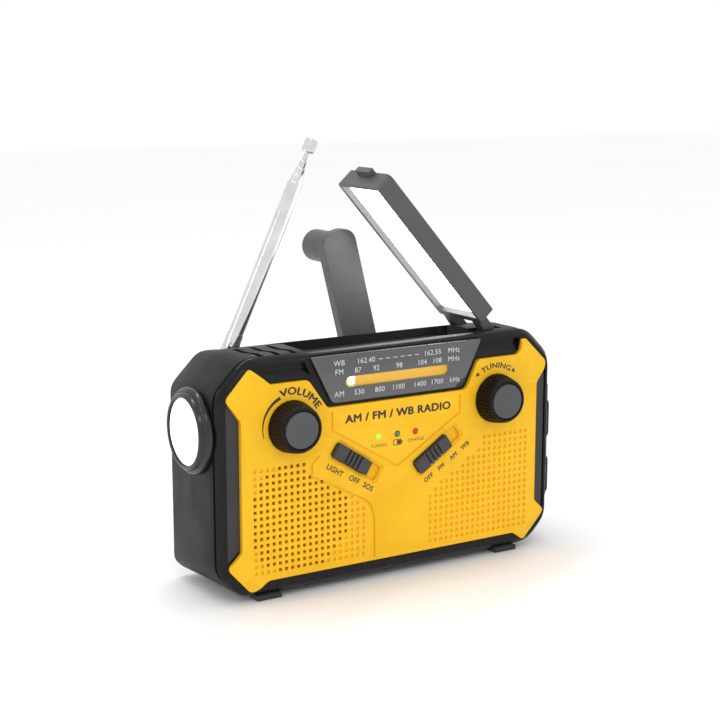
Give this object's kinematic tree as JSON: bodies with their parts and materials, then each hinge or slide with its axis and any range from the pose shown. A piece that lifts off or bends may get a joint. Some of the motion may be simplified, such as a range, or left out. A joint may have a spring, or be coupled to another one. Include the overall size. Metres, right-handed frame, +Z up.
{
  "type": "emergency radio",
  "caption": "Emergency radio with a yellow front panel, hinged lamp lid with a solar panel, side flashlight, folding antenna and a crank on the back.",
  "frame": {"origin": "bottom centre of the whole radio's box as it stands, with the lamp lid open and the antenna up", "axes": "+X to the right across the front, +Y from the front panel to the back, +Z up from the floor"},
  "size_m": [0.1642, 0.0794, 0.1691],
  "materials": {
    "yellow_plastic": "satin moulded ABS",
    "black_plastic": "fine textured moulded ABS",
    "grey_plastic": "satin moulded ABS",
    "rubber": "matte rubber",
    "window": "dark tinted gloss window",
    "dial_yellow": "painted",
    "white_plastic": "satin",
    "diffuser": "milky diffuser",
    "clear_lens": "clear lens",
    "mirror": "vacuum plated",
    "chrome": "polished",
    "steel": "plain",
    "circuit_board": "solder resist",
    "solar_cell": "glossy cells under clear resin",
    "cone_paper": "pressed paper",
    "battery_wrap": null,
    "led_green": "clear dome",
    "led_dark": "clear dome",
    "led_red": "clear dome"
  },
  "bodies": {
    "case": {"front_frame": "black_plastic", "front_panel": "yellow_plastic", "rear_shell": "black_plastic", "dial_window": "window", "dial_plate": "dial_yellow", "volume_control": "grey_plastic", "tuning_capacitor": "grey_plastic", "light_switch_body": "steel", "band_switch_body": "steel", "led_tuning": "led_green", "led_battery": "led_dark", "led_charge": "led_red", "speaker_basket": "steel", "speaker_cone": "cone_paper", "main_board": "circuit_board", "usb_socket": "steel", "audio_socket": "steel", "flashlight_bezel": "black_plastic", "flashlight_lens": "clear_lens", "flashlight_reflector": "mirror", "flashlight_led": "white_plastic", "lamp_hinge_pin": "steel", "antenna_pin": "steel", "generator_can": "steel", "gearbox_plate": "steel", "battery_door": "black_plastic", "battery_cell": "battery_wrap", "case_screw_lower_left": "steel", "case_screw_lower_right": "steel", "case_screw_upper_left": "steel", "case_screw_upper_right": "steel", "foot_front_left": "rubber", "foot_front_right": "rubber", "foot_rear_left": "rubber", "foot_rear_right": "rubber"},
    "lamp": {"lamp_lid": "grey_plastic", "lamp_diffuser": "diffuser", "solar_panel": "solar_cell"},
    "antenna": {"antenna_base": "chrome", "antenna_tube_1": "chrome"},
    "antenna_section_2": {"antenna_tube_2": "chrome"},
    "antenna_section_3": {"antenna_tube_3": "chrome"},
    "antenna_section_4": {"antenna_tube_4": "chrome"},
    "antenna_top": {"antenna_rod": "chrome"},
    "crank": {"crank_hub": "black_plastic", "crank_fold_pin": "steel", "crank_gear": "white_plastic"},
    "crank_arm": {"crank_arm": "grey_plastic"},
    "crank_knob": {"crank_knob": "black_plastic"},
    "idler": {"idler_gear": "white_plastic"},
    "rotor": {"generator_pinion": "steel"},
    "volume_knob": {"volume_knob": "black_plastic"},
    "tuning_knob": {"tuning_knob": "black_plastic"},
    "dial_pointer": {"dial_pointer": "white_plastic"},
    "light_slider": {"light_switch_slider": "black_plastic"},
    "band_slider": {"band_switch_slider": "black_plastic"},
    "port_cover_upper": {"port_cover_upper": "rubber"},
    "port_cover_lower": {"port_cover_lower": "rubber"}
  },
  "joints": [
    {"name": "lamp_hinge", "type": "hinge", "parent": "case", "child": "lamp", "pos_m": [0.05315, -0.00975, 0.0885], "axis": [0, 1, 0], "range_deg": [-48.3, 45]},
    {"name": "antenna_tilt", "type": "hinge", "parent": "case", "child": "antenna", "pos_m": [-0.05185, 0.00995, 0.086], "axis": [0, 1, 0], "range_deg": [-40, 64.7]},
    {"name": "antenna_extend_1", "type": "slide", "parent": "antenna", "child": "antenna_section_2", "axis": [0.4274, 0, 0.9041], "range_m": [0, 0.05]},
    {"name": "antenna_extend_2", "type": "slide", "parent": "antenna_section_2", "child": "antenna_section_3", "axis": [0.4274, 0, 0.9041], "range_m": [0, 0.05]},
    {"name": "antenna_extend_3", "type": "slide", "parent": "antenna_section_3", "child": "antenna_section_4", "axis": [0.4274, 0, 0.9041], "range_m": [0, 0.05]},
    {"name": "antenna_extend_4", "type": "slide", "parent": "antenna_section_4", "child": "antenna_top", "axis": [0.4274, 0, 0.9041], "range_m": [0, 0.05]},
    {"name": "crank_turn", "type": "hinge", "parent": "case", "child": "crank", "pos_m": [0.01825, 0.01575, 0.0699], "axis": [0, 1, 0], "continuous": true},
    {"name": "crank_fold", "type": "hinge", "parent": "crank", "child": "crank_arm", "pos_m": [0.01825, 0.02045, 0.0699], "axis": [-0.9703, 0, -0.2419], "range_deg": [0, 90]},
    {"name": "crank_knob_spin", "type": "hinge", "parent": "crank_arm", "child": "crank_knob", "pos_m": [0.00494, 0.02875, 0.12327], "axis": [0, 1, 0], "continuous": true},
    {"name": "idler_spin", "type": "hinge", "parent": "case", "child": "idler", "pos_m": [0.01825, 0.00575, 0.056], "axis": [0, 1, 0], "continuous": true},
    {"name": "generator_spin", "type": "hinge", "parent": "case", "child": "rotor", "pos_m": [0.01825, 0.00375, 0.0391], "axis": [0, 1, 0], "continuous": true},
    {"name": "volume_turn", "type": "hinge", "parent": "case", "child": "volume_knob", "pos_m": [-0.04665, -0.03125, 0.066], "axis": [0, 1, 0], "range_deg": [-150, 150]},
    {"name": "tuning_turn", "type": "hinge", "parent": "case", "child": "tuning_knob", "pos_m": [0.04695, -0.03125, 0.066], "axis": [0, 1, 0], "range_deg": [-24, 500]},
    {"name": "dial_travel", "type": "slide", "parent": "case", "child": "dial_pointer", "axis": [1, 0, 0], "range_m": [-0.0025, 0.04]},
    {"name": "light_switch_travel", "type": "slide", "parent": "case", "child": "light_slider", "axis": [0.8387, 0, -0.5446], "range_m": [0, 0.0056]},
    {"name": "band_switch_travel", "type": "slide", "parent": "case", "child": "band_slider", "axis": [0.8387, 0, 0.5446], "range_m": [0, 0.0056]},
    {"name": "port_cover_upper_hinge", "type": "hinge", "parent": "case", "child": "port_cover_upper", "pos_m": [0.08095, -0.00345, 0.05175], "axis": [0, 0, 1], "range_deg": [0, 100]},
    {"name": "port_cover_lower_hinge", "type": "hinge", "parent": "case", "child": "port_cover_lower", "pos_m": [0.08095, -0.00345, 0.02775], "axis": [0, 0, 1], "range_deg": [0, 100]}
  ],
  "couplings": [
    {"joint": "idler_spin", "follows": "crank_turn", "ratio": -1.875},
    {"joint": "generator_spin", "follows": "crank_turn", "ratio": 4.6875},
    {"joint": "dial_travel", "follows": "tuning_turn", "m_per_rad": 0.0045}
  ]
}
